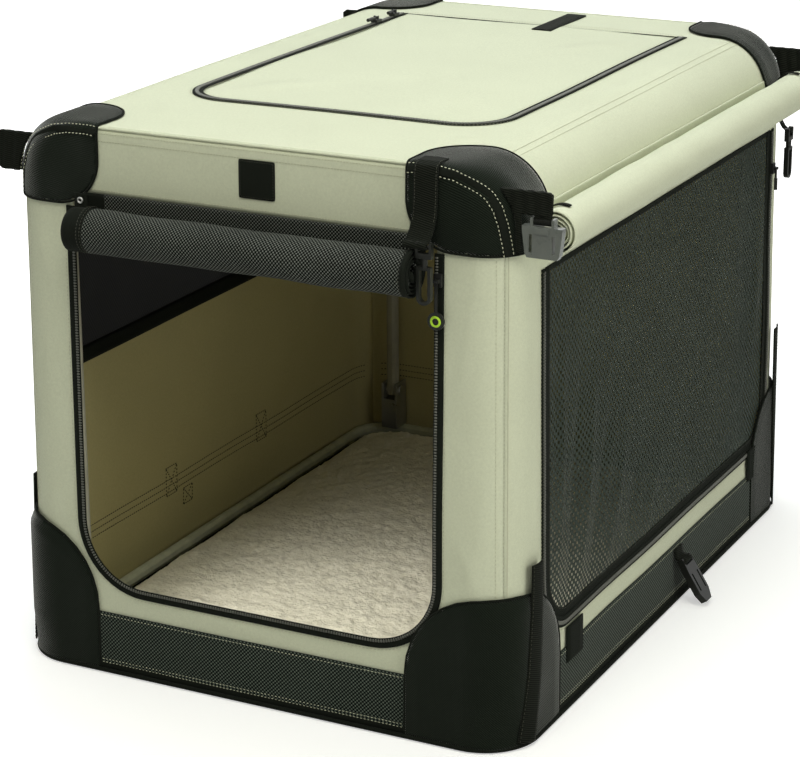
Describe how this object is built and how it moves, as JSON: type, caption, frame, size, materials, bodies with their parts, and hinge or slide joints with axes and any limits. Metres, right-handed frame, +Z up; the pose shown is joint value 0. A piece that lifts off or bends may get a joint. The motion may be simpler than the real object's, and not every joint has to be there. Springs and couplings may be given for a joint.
{
  "type": "soft-sided folding dog crate",
  "caption": "Soft-sided pet crate on a folding tube frame, with a rolled-up front door, zipped roof hatch, mesh side door and fleece mat.",
  "frame": {"origin": "middle of the floor panel's underside", "axes": "+Z up, -Y out of the front doorway, +X out of the mesh side door"},
  "size_m": [0.659, 0.861, 0.6118],
  "materials": {
    "cream_fabric": "matte",
    "mesh_fabric": "matte",
    "dark_twill": "matte",
    "webbing": "matte",
    "fleece": "matte",
    "frame_tube": "satin",
    "steel": "satin",
    "black_plastic": "satin"
  },
  "bodies": {
    "base": {"floor_panel": "dark_twill", "base_frame": "frame_tube", "fleece_mat": "fleece", "front_wall": "cream_fabric", "rear_wall": "cream_fabric", "left_wall": "cream_fabric", "right_wall": "cream_fabric", "left_window_mesh": "mesh_fabric", "front_zip": "webbing", "side_zip": "webbing", "lower_belt": "dark_twill", "belt_loop_right": "webbing", "hinge_bracket_front_left": "steel", "hinge_bracket_front_right": "steel", "hinge_bracket_rear_left": "steel", "hinge_bracket_rear_right": "steel", "hinge_pin_front_left": "steel", "hinge_pin_front_right": "steel", "hinge_pin_rear_left": "steel", "hinge_pin_rear_right": "steel", "bottom_cap_front_left": "dark_twill", "bottom_cap_front_right": "dark_twill", "bottom_cap_rear_left": "dark_twill", "bottom_cap_rear_right": "dark_twill"},
    "front_hoop": {"front_hoop": "frame_tube"},
    "rear_hoop": {"rear_hoop": "frame_tube"},
    "top_runners": {"top_runner_left": "black_plastic", "top_runner_right": "black_plastic"},
    "top": {"top_frame": "frame_tube", "front_catch_left": "black_plastic", "front_catch_right": "black_plastic", "roof_surround": "cream_fabric", "roof_zip": "webbing", "roof_strap": "webbing", "front_door_roll": "mesh_fabric", "side_cover_roll": "cream_fabric", "front_strap": "webbing", "side_strap": "webbing", "top_cap_front_left": "dark_twill", "top_cap_front_right": "dark_twill", "top_cap_rear_left": "dark_twill", "top_cap_rear_right": "dark_twill", "corner_loop_front_left": "webbing", "corner_loop_front_right": "webbing", "corner_loop_rear_left": "webbing", "corner_loop_rear_right": "webbing"},
    "roof_flap": {"roof_flap": "cream_fabric"},
    "side_door": {"side_door": "mesh_fabric"},
    "roof_rear_slider": {"roof_rear_slider": "steel"},
    "roof_rear_pull": {"roof_rear_pull": "black_plastic"},
    "roof_front_slider": {"roof_front_slider": "steel"},
    "roof_front_pull": {"roof_front_pull": "black_plastic"},
    "front_slider": {"front_slider": "steel"},
    "front_pull": {"front_pull": "black_plastic"},
    "side_slider": {"side_slider": "steel"},
    "side_pull": {"side_pull": "black_plastic"},
    "front_hook": {"front_hook": "black_plastic"},
    "side_hook": {"side_hook": "black_plastic"},
    "corner_buckle": {"corner_buckle_right": "black_plastic"},
    "belt_buckle": {"belt_buckle_right": "black_plastic"}
  },
  "joints": [
    {"name": "fold", "type": "hinge", "parent": "base", "child": "rear_hoop", "pos_m": [0, 0.3879, 0.072], "axis": [1, 0, 0], "range_deg": [0, 78], "deforming": ["front_wall", "rear_wall", "left_wall", "right_wall", "left_window_mesh", "front_zip", "side_zip", "lower_belt", "bottom_cap_front_left", "bottom_cap_front_right", "bottom_cap_rear_left", "bottom_cap_rear_right", "side_door"]},
    {"name": "front_hoop_fold", "type": "hinge", "parent": "base", "child": "front_hoop", "pos_m": [0, -0.3879, 0.036], "axis": [-1, 0, 0], "range_deg": [-0.5, 78.5]},
    {"name": "runner_turn", "type": "hinge", "parent": "rear_hoop", "child": "top_runners", "pos_m": [0, 0.3879, 0.5889], "axis": [-1, 0, 0], "range_deg": [-0.5, 78.5]},
    {"name": "top_slide", "type": "slide", "parent": "top_runners", "child": "top", "axis": [0, 1, 0], "range_m": [-0.002, 0.5096]},
    {"name": "roof_flap_turn", "type": "hinge", "parent": "top", "child": "roof_flap", "pos_m": [0, 0.3, 0.602], "axis": [1, 0, 0], "range_deg": [-110, 0], "deforming": ["roof_strap"]},
    {"name": "side_door_turn", "type": "hinge", "parent": "top", "child": "side_door", "pos_m": [0.28683, 0, 0.492], "axis": [0, 1, 0], "range_deg": [-80, 0]},
    {"name": "roof_rear_slider_run", "type": "slide", "parent": "top", "child": "roof_rear_slider", "axis": [0, 1, 0], "range_m": [-0.016, 0.014]},
    {"name": "roof_front_slider_run", "type": "slide", "parent": "top", "child": "roof_front_slider", "axis": [0, 1, 0], "range_m": [-0.4, 0]},
    {"name": "front_slider_run", "type": "slide", "parent": "top", "child": "front_slider", "axis": [0, 0.0166, 0.9999], "range_m": [-0.3, 0]},
    {"name": "side_slider_run", "type": "slide", "parent": "top", "child": "side_slider", "axis": [-0.0166, 0, 0.9999], "range_m": [-0.27, 0]},
    {"name": "roof_rear_pull_turn", "type": "hinge", "parent": "roof_rear_slider", "child": "roof_rear_pull", "pos_m": [-0.1813, 0.274, 0.6096], "axis": [1, 0, 0], "range_deg": [-150, 0]},
    {"name": "roof_front_pull_turn", "type": "hinge", "parent": "roof_front_slider", "child": "roof_front_pull", "pos_m": [-0.1813, 0.226, 0.6096], "axis": [1, 0, 0], "range_deg": [-150, 0]},
    {"name": "front_pull_turn", "type": "hinge", "parent": "front_slider", "child": "front_pull", "pos_m": [0.2113, -0.41044, 0.4911], "axis": [1, 0, 0], "range_deg": [-40, 0]},
    {"name": "side_pull_turn", "type": "hinge", "parent": "side_slider", "child": "side_pull", "pos_m": [0.29522, 0.3483, 0.4441], "axis": [0, 1, 0], "range_deg": [-80, 0]},
    {"name": "front_hook_swing", "type": "hinge", "parent": "top", "child": "front_hook", "pos_m": [0.2085, -0.43086, 0.5305], "axis": [1, 0, 0], "range_deg": [-60, 0]},
    {"name": "side_hook_swing", "type": "hinge", "parent": "top", "child": "side_hook", "pos_m": [0.30192, 0.371, 0.4865], "axis": [0, 1, 0], "range_deg": [-60, 0]},
    {"name": "corner_buckle_swing", "type": "hinge", "parent": "top", "child": "corner_buckle", "pos_m": [0.3117, -0.385, 0.5555], "axis": [1, 0, 0], "range_deg": [-70, 0]},
    {"name": "belt_buckle_swing", "type": "hinge", "parent": "base", "child": "belt_buckle", "pos_m": [0.3065, 0.045, 0.0507], "axis": [0, 1, 0], "range_deg": [-90, 0]}
  ],
  "couplings": [
    {"joint": "front_hoop_fold", "follows": "fold", "ratio": 1},
    {"joint": "runner_turn", "follows": "fold", "ratio": 1},
    {"joint": "top_slide", "follows": "fold", "m_per_rad": 0.3714}
  ]
}
